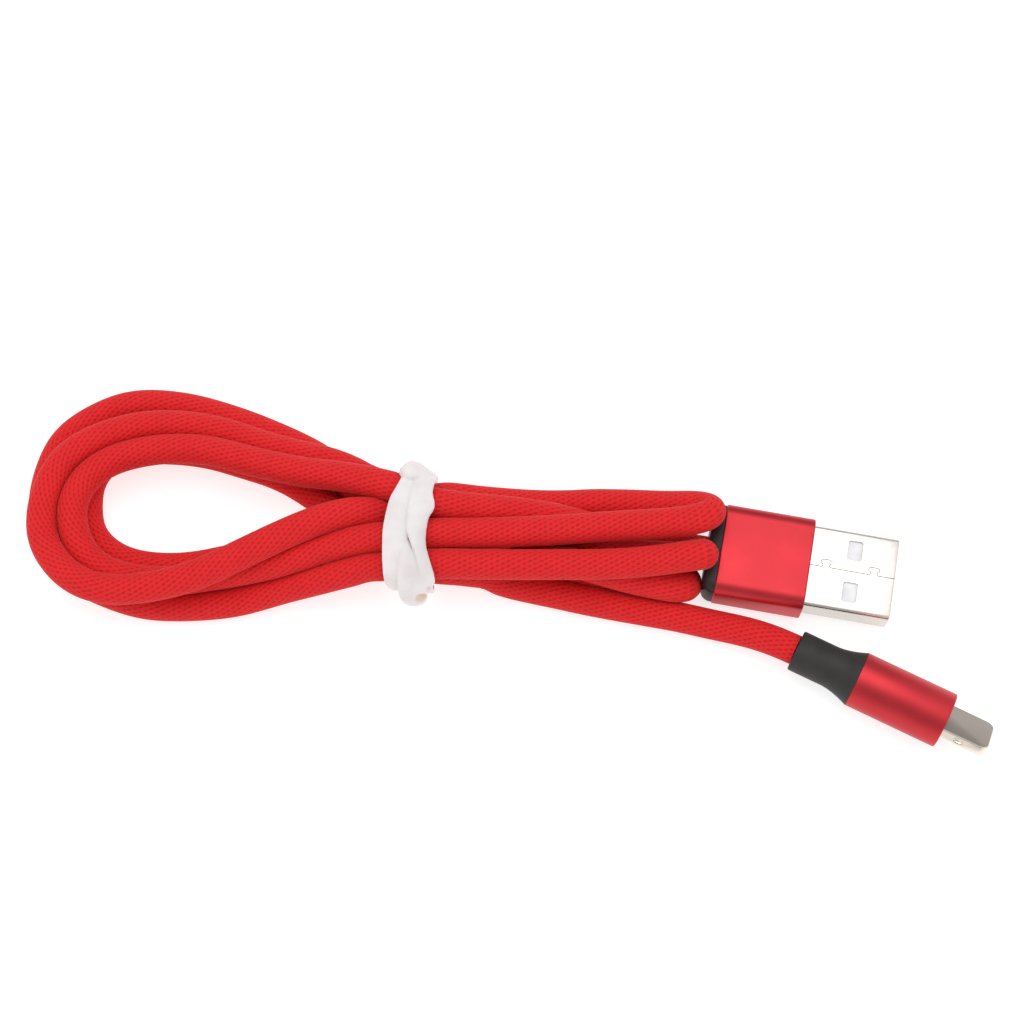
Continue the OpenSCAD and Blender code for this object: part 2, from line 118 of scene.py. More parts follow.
# ---- cord route
# Points that the cord follows, in millimetres, before its turns push each other apart. Each
# stretch starts with how easily it moves aside: little where it lies on top, a lot inside.
ROUTE = (
    # out of the A-type plug's cap, and up through the hank
    (1.0, [(-12, 2, 3.7), (-16, 2.6, 3.2), (-20.5, 3.2, 3.6), (-25, 3.9, 5.4)]),
    # b over the top of the hank
    (0.15, [
        (-29, 4.75, 6.6), (-32, 4.9, 7.2), (-37.5, 5.4, 8.3), (-41.8, 5.8, 9.4), (-46.5, 6.3, 10.5),
        (-51, 7.4, 10.9), (-54, 8.9, 10.3), (-60, 11.5, 8.5), (-65.5, 13, 7.5),
        (-72, 15, 6.5), (-78.5, 16.5, 6.2), (-85, 16.5, 6.2), (-90.5, 15.5, 6.2),
    ]),
    # C, the loop under B
    (0.15, [
        (-94.6, 13.8, 6.2), (-97.2, 11.2, 6.2), (-98.8, 7.5, 6.2), (-98.3, 3.8, 6.2), (-96.7, -0.3, 6),
        (-93, -3, 5.5), (-87, -4, 5.1), (-80.5, -3, 5.1), (-71, -1.5, 6.5), (-60, 0.5, 8.5),
        (-53, 1, 10), (-50, 1.4, 10.4), (-46.5, 1.85, 10.5),
    ]),
    # c along the top, and the fold over the plug's far corner
    (0.15, [
        (-42, 1.95, 10.5), (-37.5, 2.15, 10.5), (-29, 2.65, 10.4), (-20.5, 3.25, 10.3),
        (-14.5, 3.5, 10.6), (-10, 3.9, 11), (-7.6, 4.6, 10.8), (-6.9, 5.6, 9.9), (-8, 6.5, 8.8),
    ]),
    # a, back along the far side under b, and up beside c
    (0.15, [
        (-10.5, 6.9, 7.9), (-13.5, 7.1, 6.8), (-17.5, 7.5, 6), (-23, 7.5, 5.4), (-26, 7.6, 4.8),
        (-32, 8, 4.3), (-37.5, 8.1, 5.2), (-42, 8.2, 6), (-46.5, 8.5, 7), (-49.5, 7.4, 7),
        (-52, 6, 8.6), (-55, 4.7, 9.9), (-62, 3, 10), (-68, 1, 9.7),
        (-74, -1.5, 9.5), (-80, -4, 9.3), (-86.5, -5.5, 9.2), (-92, -5.5, 8.6),
    ]),
    # B, the upper of the two outer loops
    (0.15, [
        (-96, -4, 7.8), (-100, -0.5, 7), (-102, 2.5, 6.6), (-102.5, 6.5, 6.5), (-101.5, 11.5, 6.5),
        (-99.5, 15, 6.5), (-95, 18, 6), (-88, 20, 5), (-79, 19.5, 4.5), (-72.5, 17.5, 4),
        (-65, 15.5, 3.5), (-59, 13.3, 3.6), (-55, 11, 4.4), (-51, 9.6, 4.4), (-46.5, 7.2, 3.2),
    ]),
    # the lower run
    (1.0, [
        (-42, 6.2, 2.8), (-37.5, 5, 2.3), (-29, 1.5, 2.2), (-20.5, -0.8, 2.2), (-16, -0.9, 2.2),
    ]),
    # the small fold behind the plug's cap, and back above the tail
    (0.15, [
        (-11.6, -1.4, 2.5), (-9.6, -2.7, 3.2), (-9.9, -4.1, 4.3), (-12.8, -3.9, 5.2),
        (-15.5, -3.5, 5.4), (-17.6, -3.1, 5.6), (-20.5, -2.4, 5.8), (-23.3, -1.4, 6),
    ]),
    (1.0, [(-29, 0.2, 5.6), (-37.5, 1.2, 3.6), (-46.5, 2.7, 3.3), (-51, 6, 2.6), (-53.5, 8.3, 3)]),
    # A, the outer loop, on the table
    (0.15, [
        (-61.5, 14.5, 3), (-70, 18, 2.3), (-78, 22, 2.2), (-84, 24, 2.2), (-91.5, 24.5, 2.2),
        (-96.5, 22.5, 2.2), (-101, 19, 2.2), (-103, 13.5, 2.2), (-103.5, 9, 2.2), (-102.5, 4.5, 2.2),
        (-100.5, 0, 2.2), (-96.5, -2.5, 2.2), (-92.5, -4, 2.2), (-88, -5.5, 2.2), (-82.5, -6, 2.2),
        (-75, -5.5, 2.4), (-69, -4, 3.5), (-60.5, -3, 7.5), (-53, -3, 9.5), (-46.5, -2.65, 10.5),
    ]),
    # d along the top, and the fold over the plug's cap
    (0.15, [
        (-42, -2.6, 10.5), (-37.5, -2.6, 10.4), (-29, -2.55, 10.4), (-23.3, -2.5, 10.3),
        (-17.7, -2.2, 10.3), (-11.5, -1.5, 10.4), (-8.4, -1.1, 10.2), (-7.0, -0.8, 9.2),
    ]),
    # back through the middle of the hank
    (1.0, [
        (-8.8, -0.4, 8.2), (-10.6, -0.3, 7.1), (-12.8, -0.2, 6.3), (-16, 0.2, 6),
        (-23, 1.2, 4.9), (-29, 2.6, 3.6), (-33, 2.9, 4.4), (-37.5, 2.3, 6.2),
        (-42, 3.4, 6.7), (-46.5, 4.05, 6.9), (-51, 3.9, 5.2), (-55, 6, 3.4),
    ]),
    # D, the inner loop, on the table under C
    (0.4, [
        (-62.5, 10.4, 3), (-68, 13.8, 2.6), (-73, 16, 2.4), (-80, 18, 2.3), (-86.5, 18.5, 2.3),
        (-91.5, 18, 2.3), (-95, 16, 2.3), (-97, 12.5, 2.3), (-97, 9, 2.3), (-96.5, 5, 2.3),
        (-94.5, 2.5, 2.3), (-91.5, 0.5, 2.3), (-87, -0.5, 2.3), (-81, -0.5, 2.3), (-75, 1, 2.4),
        (-68.5, 1.5, 4), (-60, 2.6, 5.2), (-53.5, 1, 5.9), (-50, -0.6, 6.2),
    ]),
    # out of the hank and along the table to the tab plug
    (0.15, [
        (-46.5, -1.7, 5.9), (-42, -2.1, 4.4), (-37.5, -3.3, 2.7), (-34.6, -3.6, 2.3), (-31.7, -4.1, 2.2),
        (-28.8, -4.55, 2.2), (-23, -5.75, 2.2), (-17.2, -6.85, 2.2), (-11.5, -7.9, 2.2),
        (-8.6, -8.65, 2.2), (-5.7, -9.3, 2.4), (-1, -10.75, 3.3),
    ]),
)
# Where it leaves each plug it is straight, then held, then free
STRAIGHT = 2.0
HELD = 3.0
RAMP = 6.0
# The turns settle in rounds: points a step apart, pushed off each other to a contact distance
# that is less for hidden stretches, pulled back a little to the route and down by their weight
STEP = 1.1
CONTACT = 4.2
SOFTER = 0.45
ROUNDS = 240
PUSH = 1.5
HOMING = 0.01
WEIGHT = 0.02
# The waist under the tie: x from and to, how far it fades out, and its limits across and up
WAIST_X = (-55.2, -40.5)
WAIST_FADE = (2.5, 2.5)
WAIST_Y = (-1.7, 8.55)
WAIST_Z = (3.4, 10.55)
# The waist is wider on top on its near side, and to the left on its far side
WAIST_LEAN = (6, 0.21)
WAIST_FLARE = (-47, 0.33)
# Rounded boxes that the cord lies against: x from and to, half width, z from and to, radius
A_BOXES = (
    (-5.55, 18, 4.9, 1.9, 5.5, 1.9),
    (-6.55, -5, 5.0, 1.8, 5.6, 1.6),
)


def length_along(points):
    steps = np.linalg.norm(np.diff(points, axis=0), axis=1)
    return np.concatenate([[0], np.cumsum(steps)])


def resample(points, step):
    """The same line, with points an equal step apart."""
    s = length_along(points[:, :3])
    at = np.linspace(0, s[-1], int(round(s[-1] / step)) + 1)
    return np.stack([np.interp(at, s, column) for column in points.T], 1)


def curve_through(points, per_span=24):
    """Centripetal Catmull-Rom curve through the points."""
    first = 2 * points[0] - points[1]
    last = 2 * points[-1] - points[-2]
    p = np.vstack([first, points, last])
    out = []
    for i in range(1, len(p) - 2):
        gaps = np.linalg.norm(np.diff(p[i - 1:i + 3, :3], axis=0), axis=1) ** 0.5
        t = np.concatenate([[0], np.cumsum(gaps)])
        u = np.linspace(t[1], t[2], per_span, endpoint=False)[:, None]
        a = [((t[k + 1] - u) * p[i - 1 + k] + (u - t[k]) * p[i + k]) / (t[k + 1] - t[k]) for k in range(3)]
        b = [((t[k + 2] - u) * a[k] + (u - t[k]) * a[k + 1]) / (t[k + 2] - t[k]) for k in range(2)]
        out.append(((t[2] - u) * b[0] + (u - t[1]) * b[1]) / (t[2] - t[1]))
    return np.vstack(out + [p[-2:-1]])


def rounded(line, times):
    for _ in range(times):
        line = np.vstack([line[:1], (line[:-2] + 2 * line[1:-1] + line[2:]) / 4, line[-1:]])
    return line


def out_of_boxes(points, extra):
    """How far each point has to move to stay that far outside the A-type plug."""
    yaw = math.atan2(A_FRAME[1][0], A_FRAME[0][0])
    c, s = math.cos(yaw), math.sin(yaw)
    moved = np.zeros_like(points)
    for x0, x1, half, z0, z1, radius in A_BOXES:
        x = points[:, 0] * c + points[:, 1] * s
        y = points[:, 1] * c - points[:, 0] * s
        z = points[:, 2]
        away = np.stack([x - np.clip(x, x0, x1), y - np.clip(y, -half, half), z - np.clip(z, z0, z1)], 1)
        far = np.linalg.norm(away, axis=1)
        push = np.maximum(radius + extra - far, 0) * (far > 1e-6) / np.maximum(far, 1e-6)
        away *= push[:, None]
        away[far <= 1e-6, 2] = (z1 - z + radius + extra)[far <= 1e-6]
        moved += np.stack([away[:, 0] * c - away[:, 1] * s, away[:, 0] * s + away[:, 1] * c, away[:, 2]], 1)
    return moved


def settle(line):
    """Moves the turns of the cord apart until they lie on each other and on the table."""
    line = rounded(resample(curve_through(line), STEP), 6)
    line, give = line[:, :3], np.clip(line[:, 3], 0.1, 1)
    n = len(line)
    shift = np.zeros_like(line)
    first, second = np.triu_indices(n, int(round(1.5 * CONTACT / STEP)) + 1)
    free = np.ones(n)
    held = int(round(HELD / STEP))
    ramp = int(round(RAMP / STEP))
    free[:held + ramp] = np.concatenate([np.zeros(held), np.linspace(0, 1, ramp)])
    free[-held - ramp:] = free[:held + ramp][::-1]
    for _ in range(ROUNDS):
        at = line + shift
        near = np.abs(at[first] - at[second]).max(1) < CONTACT
        i, j = first[near], second[near]
        apart = at[i] - at[j]
        dist = np.linalg.norm(apart, axis=1)
        limit = CONTACT - SOFTER * np.maximum(give[i], give[j])
        push = np.maximum(limit - dist, 0)[:, None] * apart / np.maximum(dist, 1e-6)[:, None]
        share = (give[i] / (give[i] + give[j]))[:, None]
        touch = dist < limit
        total = np.zeros_like(at)
        count = np.zeros(n)
        np.add.at(total, i[touch], (push * share)[touch])
        np.add.at(total, j[touch], (push * (share - 1))[touch])
        np.add.at(count, i[touch], 1)
        np.add.at(count, j[touch], 1)
        shift += (free * PUSH / np.maximum(count, 1))[:, None] * total
        shift *= (1 - HOMING * free)[:, None]
        shift[:, 2] -= WEIGHT * free * give
        shift = rounded(shift, 2)
        shift += free[:, None] * out_of_boxes(line + shift, CORD_R - 0.1)
        at = line + shift
        shift[:, 2] += free * np.maximum(CORD_R - at[:, 2], 0)
        at = line + shift
        left = (at[:, 0] - WAIST_X[0]) / WAIST_FADE[0] + 1
        right = (WAIST_X[1] - at[:, 0]) / WAIST_FADE[1] + 1
        waist = free * np.clip(np.minimum(left, right), 0, 1)
        far = WAIST_Y[1] + WAIST_FLARE[1] * np.maximum(WAIST_FLARE[0] - at[:, 0], 0)
        near = WAIST_Y[0] - WAIST_LEAN[1] * np.maximum(at[:, 2] - WAIST_LEAN[0], 0)
        shift[:, 1] += waist * (np.clip(at[:, 1], near, far) - at[:, 1])
        shift[:, 2] += waist * (np.clip(at[:, 2], *WAIST_Z) - at[:, 2])
    return line + shift


def cord_line():
    """The cord's settled centreline, from one plug to the other, in millimetres."""
    start = place(A_FRAME, [(A_REAR - CAP_L, 0, A_Z), (A_REAR - CAP_L - STRAIGHT, 0, A_Z)])
    end = place(T_FRAME, [(T_REAR - BOOT["length"] - STRAIGHT, 0, 0), (T_REAR - BOOT["length"], 0, 0)])
    points = [(*p, give) for give, stretch in ROUTE for p in stretch]
    points = [(*p, 1) for p in start] + points + [(*p, 1) for p in end]
    return settle(np.array(points, float))


# ---- mesh helpers
def link_mesh(name, vertices, faces, scale=MM, sharp=40):
    """A new smooth-shaded object from millimetre points, with edges sharp above an angle."""
    mesh = bpy.data.meshes.new(name)
    mesh.from_pydata([tuple(v) for v in np.asarray(vertices, float) * scale], [], faces)
    mesh.validate()
    mesh.update()
    mesh.shade_smooth()
    mesh.set_sharp_from_angle(angle=math.radians(sharp))
    piece = bpy.data.objects.new(name, mesh)
    bpy.context.scene.collection.objects.link(piece)
    return piece


def loft_faces(rings, count, wrap=False):
    """Faces between rings that all have count points."""
    faces = []
    spans = rings if wrap else rings - 1
    for i in range(spans):
        a, b = i * count, ((i + 1) % rings) * count
        for k in range(count):
            k2 = (k + 1) % count
            faces.append((a + k, a + k2, b + k2, b + k))
    if not wrap:
        faces.append(tuple(range(count))[::-1])
        faces.append(tuple((rings - 1) * count + k for k in range(count)))
    return faces


def loft(name, rings, matrix, wrap=False, sharp=40):
    """A piece from rings of points in a plug's own frame."""
    count = len(rings[0])
    points = [matrix @ Vector(p) for ring in rings for p in ring]
    piece = link_mesh(name, points, loft_faces(len(rings), count, wrap), 1.0, sharp)
    fix_normals(piece)
    return piece


def fix_normals(piece):
    work = bmesh.new()
    work.from_mesh(piece.data)
    bmesh.ops.recalc_face_normals(work, faces=work.faces)
    work.to_mesh(piece.data)
    work.free()


def rounded_rect(x, width, height, corner, middle_z, per_corner=8, inset_y=0.0, inset_z=0.0):
    """Ring of points round a rectangle with round corners, at one x."""
    ring = []
    half_w = width / 2 - inset_y
    half_h = height / 2 - inset_z
    corner = max(min(corner, half_w, half_h), 0.02)
    for quarter, (sy, sz) in enumerate(((1, 1), (-1, 1), (-1, -1), (1, -1))):
        for k in range(per_corner):
            angle = math.pi / 2 * (quarter + k / (per_corner - 1))
            y = sy * (half_w - corner) + corner * math.cos(angle)
            z = sz * (half_h - corner) + corner * math.sin(angle)
            ring.append((x, y, middle_z + z))
    return ring


def circle(x, radius, count=96):
    turns = [2 * math.pi * k / count for k in range(count)]
    return [(x, radius * math.cos(a), radius * math.sin(a)) for a in turns]


# ---- the cord's tube
RING_STEP = 0.3
SIDES = 40
# Closer than this, two stretches of cord press on each other, down to the least radius
CLOSE = 4.35
LEAST_R = 1.3
LEAN = 0.05
# Curvature from which the inner side of a bend is pinched flat, and how flat
PINCH = {"curve": 0.25, "reach": 0.92, "least": 0.7}
WRINKLE = {"height": 0.09, "pitch": 0.95, "wander": 1.3, "curve": 0.12, "full": 0.25}


def directions(line):
    """Unit vectors along the line, and two across it that don't twist."""
    along = np.gradient(line, axis=0)
    along /= np.linalg.norm(along, axis=1)[:, None]
    side = np.zeros_like(line)
    side[0] = np.cross([0, 0, 1], along[0])
    side[0] /= np.linalg.norm(side[0])
    for i in range(1, len(line)):
        v = side[i - 1] - along[i] * (side[i - 1] @ along[i])
        side[i] = v / np.linalg.norm(v)
    return along, side, np.cross(along, side)


def pressed_radius(line, along, spokes):
    """Radius of each spoke of each ring, flattened where the cord meets itself or the table."""
    radius = np.full(spokes.shape[:2], CORD_R)

    def limit(rows, toward, most):
        lean = np.einsum("nki,ni->nk", spokes[rows], toward)
        allowed = np.where(lean > LEAN, most[:, None] / np.maximum(lean, LEAN), CORD_R)
        np.minimum.at(radius, rows, np.minimum(allowed, CORD_R))

    coarse = line[::2]
    s = length_along(line)
    for start in range(0, len(line), 200):
        rows = np.arange(start, min(start + 200, len(line)))
        gap = coarse[None, :, :] - line[rows][:, None, :]
        dist = np.linalg.norm(gap, axis=2)
        apart = np.abs(s[::2][None, :] - s[rows][:, None])
        a, b = np.nonzero((dist < CLOSE) & (apart > 1.5 * CLOSE))
        toward = gap[a, b] / dist[a, b][:, None]
        limit(rows[a], toward, np.maximum(dist[a, b] / 2 - 0.01, LEAST_R))
    rows = np.arange(len(line))
    down = np.tile([0.0, 0.0, -1.0], (len(line), 1))
    limit(rows, down, np.maximum(line[:, 2] - TABLE_GAP, LEAST_R))
    bend = np.gradient(along, axis=0) / np.gradient(s)[:, None]
    curve = np.linalg.norm(bend, axis=1)
    tight = np.nonzero(curve > PINCH["curve"])[0]
    most = np.maximum(PINCH["reach"] / curve[tight], PINCH["least"])
    limit(tight, bend[tight] / curve[tight][:, None], most)
    return radius, bend, curve


def soften(radius, times):
    """Rounds the creases that the flattening leaves, round the cord and along it."""
    for _ in range(times):
        radius = (np.roll(radius, 1, 1) + 2 * radius + np.roll(radius, -1, 1)) / 4
        radius[1:-1] = (radius[:-2] + 2 * radius[1:-1] + radius[2:]) / 4
    return radius


def tube(name, line):
    """The cord as a mesh tube, with a UV map in millimetres along it and turns round it."""
    along, side, up = directions(line)
    turn = 2 * np.pi * np.arange(SIDES) / SIDES
    spokes = np.cos(turn)[None, :, None] * side[:, None, :] + np.sin(turn)[None, :, None] * up[:, None, :]
    radius, bend, curve = pressed_radius(line, along, spokes)
    radius = soften(radius, 3)
    s = length_along(line)
    # The jacket wrinkles across the inner side of a tight bend
    inner = np.einsum("nki,ni->nk", spokes, bend)
    fold = np.clip((curve - WRINKLE["curve"]) / WRINKLE["full"], 0, 1)[:, None]
    wave = np.sin(2 * np.pi * s / WRINKLE["pitch"] + WRINKLE["wander"] * np.sin(s * 0.7))[:, None]
    inside = np.clip(0.35 + inner / np.maximum(curve, 1e-6)[:, None], 0, 1)
    radius = radius + WRINKLE["height"] * fold * wave * inside
    points = line[:, None, :] + radius[:, :, None] * spokes
    flat = points.reshape(-1, 3)
    outside = np.repeat((s > HELD) & (s < s[-1] - HELD), SIDES)
    flat[outside] += out_of_boxes(flat[outside], TABLE_GAP)
    flat[:, 2] = np.maximum(flat[:, 2], TABLE_GAP)
    piece = link_mesh(name, flat, loft_faces(len(line), SIDES), sharp=70)
    add_uv(piece.data, s)
    return piece


def add_uv(mesh, s):
    layer = mesh.uv_layers.new(name="along")
    index = np.zeros(len(mesh.loops), int)
    mesh.loops.foreach_get("vertex_index", index)
    ring, spoke = index // SIDES, index % SIDES
    turn = spoke / SIDES
    starts = np.array([p.loop_start for p in mesh.polygons])
    totals = np.array([p.loop_total for p in mesh.polygons])
    face = np.repeat(np.arange(len(starts)), totals)
    last = np.zeros(len(starts), bool)
    np.logical_or.at(last, face, spoke == SIDES - 1)
    turn = np.where(last[face] & (spoke == 0) & (totals[face] == 4), 1.0, turn)
    layer.data.foreach_set("uv", np.stack([s[ring], turn], 1).ravel())


settled = rounded(curve_through(cord_line(), 4), 1)
cord_path = resample(settled, RING_STEP)
cord = tube("fabric_cord", cord_path)
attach(cord, "cable")
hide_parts("cord_hank", "cord_stub", "cord_tail")

# ---- materials
class Nodes:
    """A node tree, written as short expressions."""

    def __init__(self, tree):
        self.tree = tree

    def node(self, kind, settings=None, **inputs):
        made = self.tree.nodes.new("ShaderNode" + kind)
        for key, value in (settings or {}).items():
            setattr(made, key, value)
        for key, value in inputs.items():
            self.feed(made.inputs[key.replace("_", " ")], value)
        return made

    def feed(self, socket, value):
        if isinstance(value, bpy.types.NodeSocket):
            self.tree.links.new(value, socket)
        else:
            socket.default_value = value

    def math(self, operation, *values):
        made = self.node("Math", {"operation": operation})
        for socket, value in zip(made.inputs, values):
            self.feed(socket, value)
        return made.outputs[0]

    def noise(self, scale, detail=3.0, roughness=0.5, vector=None):
        vector = vector or self.place()
        made = self.node("TexNoise", Scale=scale, Detail=detail, Roughness=roughness, Vector=vector)
        return made.outputs["Fac"]

    def place(self, stretch=None):
        where = self.node("TexCoord").outputs["Object"]
        if stretch is None:
            return where
        return self.node("Mapping", Vector=where, Scale=stretch).outputs["Vector"]

    def between(self, value, low, high, to_low=0.0, to_high=1.0):
        made = self.node("MapRange", {"interpolation_type": "SMOOTHSTEP"}, Value=value)
        for side, ends in (("From", (low, high)), ("To", (to_low, to_high))):
            for end, number in zip(("Min", "Max"), ends):
                self.feed(made.inputs[side + " " + end], number)
        return made.outputs["Result"]

    def mix(self, factor, a, b):
        made = self.node("Mix", {"data_type": "RGBA"})
        self.feed(made.inputs[0], factor)
        self.feed(made.inputs[6], a)
        self.feed(made.inputs[7], b)
        return made.outputs[2]

    def bump(self, height, distance, strength=1.0):
        return self.node("Bump", Strength=strength, Distance=distance, Height=height).outputs["Normal"]


class Shader(Nodes):
    """A new material's nodes."""

    def __init__(self, name):
        self.material = bpy.data.materials.new(name)
        self.material.use_nodes = True
        super().__init__(self.material.node_tree)
        self.bsdf = self.tree.nodes["Principled BSDF"]

    def finish(self, **inputs):
        for key, value in inputs.items():
            self.feed(self.bsdf.inputs[key.replace("_", " ")], value)
        return self.material


def rgb(r, g, b):
    return (r, g, b, 1.0)


def fabric(name, pitch=1.5, rows=38):
    """Fine open mesh: staggered rows of small slanted holes between knitted yarns."""
    sh = Shader(name)
    uv = sh.node("UVMap", {"uv_map": "along"}).outputs["UV"]
    split = sh.node("SeparateXYZ", Vector=uv)
    wander = sh.math("SUBTRACT", sh.noise(1500, 2.0), 0.5)
    along = sh.math("ADD", sh.math("DIVIDE", split.outputs["X"], pitch), sh.math("MULTIPLY", wander, 0.2))
    around = sh.math("MULTIPLY", split.outputs["Y"], float(rows))
    row = sh.math("FLOOR", around)
    v = sh.math("SUBTRACT", sh.math("FRACT", around), 0.5)
    stagger = sh.math("MULTIPLY", sh.math("FLOORED_MODULO", row, 2.0), 0.5)
    u = sh.math("SUBTRACT", sh.math("FRACT", sh.math("ADD", along, stagger)), 0.5)
    slanted = sh.math("ADD", u, sh.math("MULTIPLY", v, 0.22))
    across = sh.math("POWER", sh.math("ABSOLUTE", sh.math("DIVIDE", v, 0.62)), 2.0)
    length = sh.math("POWER", sh.math("ABSOLUTE", sh.math("DIVIDE", slanted, 0.21)), 2.0)
    size = sh.math("ADD", sh.math("SQRT", sh.math("ADD", across, length)), sh.math("MULTIPLY", wander, 0.9))
    hole = sh.between(size, 0.35, 1.10, 1.0, 0.0)
    twist = sh.math("ADD", sh.math("MULTIPLY", along, 6.0), around)
    strand = sh.math("SINE", sh.math("MULTIPLY", twist, 2 * math.pi))
    strand = sh.math("MULTIPLY_ADD", strand, 0.5, 0.5)
    shade = sh.noise(260, 2.0)
    plain = sh.mix(shade, rgb(0.78, 0.017, 0.020), rgb(0.69, 0.011, 0.015))
    # Lighter red along the twisted yarn ridges: a painted highlight on the yarn crests.
    yarn_painted_highlight = sh.mix(sh.math("MULTIPLY", strand, 0.22), plain, rgb(0.86, 0.045, 0.045))
    colour = sh.mix(sh.math("MULTIPLY", hole, 0.50), yarn_painted_highlight, rgb(0.28, 0.003, 0.007))
    height = sh.math("SUBTRACT", sh.math("MULTIPLY", strand, 0.25), hole)
    fuzz = sh.noise(9000, 2.0)
    height = sh.math("ADD", height, sh.math("MULTIPLY", fuzz, 0.35))
    sh.finish(Base_Color=colour, Roughness=0.82, Normal=sh.bump(height, 0.00007))
    sh.finish(Sheen_Weight=0.32, Sheen_Roughness=0.30, Sheen_Tint=rgb(1.0, 0.35, 0.30))
    return sh.finish(Specular_IOR_Level=0.25)


def surface(name, light, dark, rough, grain=4500, spread=0.2, depth=0.00002, strength=0.7,
            cloud=(300, 2.0), edges=(0.3, 0.7), stretch=None, fleck=None, **rest):
    """A solid material: soft clouds between two colours, and a fine grain in gloss and bump."""
    sh = Shader(name)
    fine = sh.noise(grain, 4.0, 0.6, sh.place(stretch))
    colour = sh.mix(sh.between(sh.noise(*cloud), *edges), rgb(*light), rgb(*dark))
    if fleck:
        colour = sh.mix(sh.math("MULTIPLY", fine, 0.12), colour, rgb(*fleck))
    roughness = sh.math("MULTIPLY_ADD", fine, spread, rough)
    sh.finish(Base_Color=colour, Roughness=roughness, Normal=sh.bump(fine, depth, strength))
    return sh.finish(**rest)


def scaled(colour, factor, more=0.0):
    return [min(1.0, c * factor + more) for c in colour]


def anodised(name, base=(0.53, 0.040, 0.050)):
    """Fine-blasted aluminium, dyed and sealed: satin, with a very fine grain."""
    return surface(name, base, scaled(base, 1.12), 0.36, 7000, 0.12, 0.00001, 0.5, (180, 2.0),
                   fleck=scaled(base, 0.75), Metallic=1.0)


def plated(name, base, rough, brushed=(1.0, 1.0, 1.0)):
    """Nickel plating over pressed steel, with faint drawing marks and cloudy patches."""
    return surface(name, base, scaled(base, 0.94), rough, 3500, 0.12, 0.000004, 0.5, (220, 3.0),
                   (0.35, 0.65), brushed, Metallic=1.0)


def moulded(name, base, rough=0.5, depth=0.00002, grain=4500, specular=0.5):
    """Moulded plastic or rubber, with the fine texture of its mould."""
    return surface(name, base, scaled(base, 1.25, 0.004), rough - 0.1, grain, depth=depth,
                   Specular_IOR_Level=specular)


def silicone(name, light=(0.82, 0.79, 0.785), dark=(0.72, 0.69, 0.69)):
    """Milky silicone: soft, slightly see-through, satin."""
    return surface(name, light, dark, 0.38, 2600, strength=0.6, cloud=(260, 3.0), Subsurface_Weight=0.45,
                   Subsurface_Scale=0.0015, Subsurface_Radius=(1.0, 0.75, 0.6), Specular_IOR_Level=0.4)


def wear(piece, material):
    """Puts one material on all of a piece."""
    piece.data.materials.clear()
    piece.data.materials.append(material)


FABRIC = fabric("red_mesh_fabric")
ANODISED = anodised("red_anodised_aluminium")
NICKEL = plated("nickel_shell", (0.70, 0.65, 0.60), 0.20, (0.15, 1.0, 1.0))
TAB_FACE = plated("tab_blasted_face", (0.36, 0.32, 0.285), 0.34)
# Smoother, much lighter plating for the tab's sides and bevels: a polished edge, with a painted highlight
# in its lighter colour.
TAB_EDGE_POLISH_AND_HIGHLIGHT = plated("tab_polished_edge_painted_highlight", (0.86, 0.78, 0.68), 0.18)
RUBBER = moulded("black_rubber", (0.020, 0.018, 0.016), 0.55, 0.00002, 5200, 0.35)
SEAM_SHADE = moulded("seam_shadow", (0.30, 0.27, 0.24), 0.6)
CAP_BLACK = moulded("cap_plastic", (0.018, 0.013, 0.013), 0.45, 0.00002, 5200, 0.3)
SILICONE = silicone("milky_silicone")
# A warmer, darker copy of the silicone for the inside of the lobe's hollow: painted shade, warmed as if by
# light bounced from the red cord.
SILICONE_PAINTED_WARM_SHADE = silicone("milky_silicone_painted_warm_shade", (0.86, 0.68, 0.54), (0.80, 0.60, 0.46))
wear(cord, FABRIC)

# Materials of the CAD pieces that stay in view, by the slot that the record gives them
CAD_FINISH = {
    "steel_shell": NICKEL,
    "tongue_plastic": moulded("tongue_plastic", (0.72, 0.72, 0.74), 0.4),
    "gold_contact": plated("gold_plate", (0.95, 0.72, 0.32), 0.16),
    "white_plastic": moulded("white_nylon", (0.80, 0.79, 0.75), 0.45),
    "red_anodised": ANODISED,
    "dark_plastic": CAP_BLACK,
    "clip_steel": plated("plain_steel", (0.62, 0.61, 0.60), 0.30, (0.2, 1.0, 1.0)),
    "red_fabric": moulded("cord_jacket_end", (0.55, 0.02, 0.02), 0.8, 0.00004, 3000, 0.2),
    "lead_red": moulded("red_insulation", (0.60, 0.03, 0.03), 0.4),
    "lead_white": moulded("white_insulation", (0.82, 0.82, 0.80), 0.4),
    "lead_green": moulded("green_insulation", (0.04, 0.30, 0.09), 0.4),
    "lead_black": moulded("black_insulation", (0.03, 0.03, 0.03), 0.4),
    "tab_metal": TAB_FACE,
    "board_green": moulded("solder_mask", (0.03, 0.18, 0.07), 0.3),
    "chip_black": moulded("chip_resin", (0.02, 0.02, 0.02), 0.5),
    "capacitor_tan": moulded("fired_ceramic", (0.42, 0.30, 0.18), 0.5),
    "black_rubber": RUBBER,
    "tie_rubber": SILICONE,
}


def finish_cad_nodes():
    for part in frame["record"]["subparts"]:
        wear(frame["nodes"][part["node"]], CAD_FINISH[part["material_slot"]])


finish_cad_nodes()

# ---- A-type plug
FIT = 0.03


def edge_round(steps):
    """(way in from the end, inset) round an edge of radius 1, from the end face on."""
    turns = [math.pi / 2 * k / steps for k in range(steps + 1)]
    return [(1 - math.sin(a), 1 - math.cos(a)) for a in turns[::-1]]


def box_ends(x0, x1, radius):
    """(x, inset) of the rings of a box with both ends rounded."""
    ends = [(radius * a, radius * b) for a, b in edge_round(5)]
    return [(x0 + d, inset) for d, inset in ends] + [(x1 - d, inset) for d, inset in reversed(ends)]


def own(piece, *nodes, slot, body="cable"):
    """The piece rides on its body and stands for CAD nodes, which it hides. The slot is not used."""
    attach(piece, body)
    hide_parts(*nodes)
    return piece


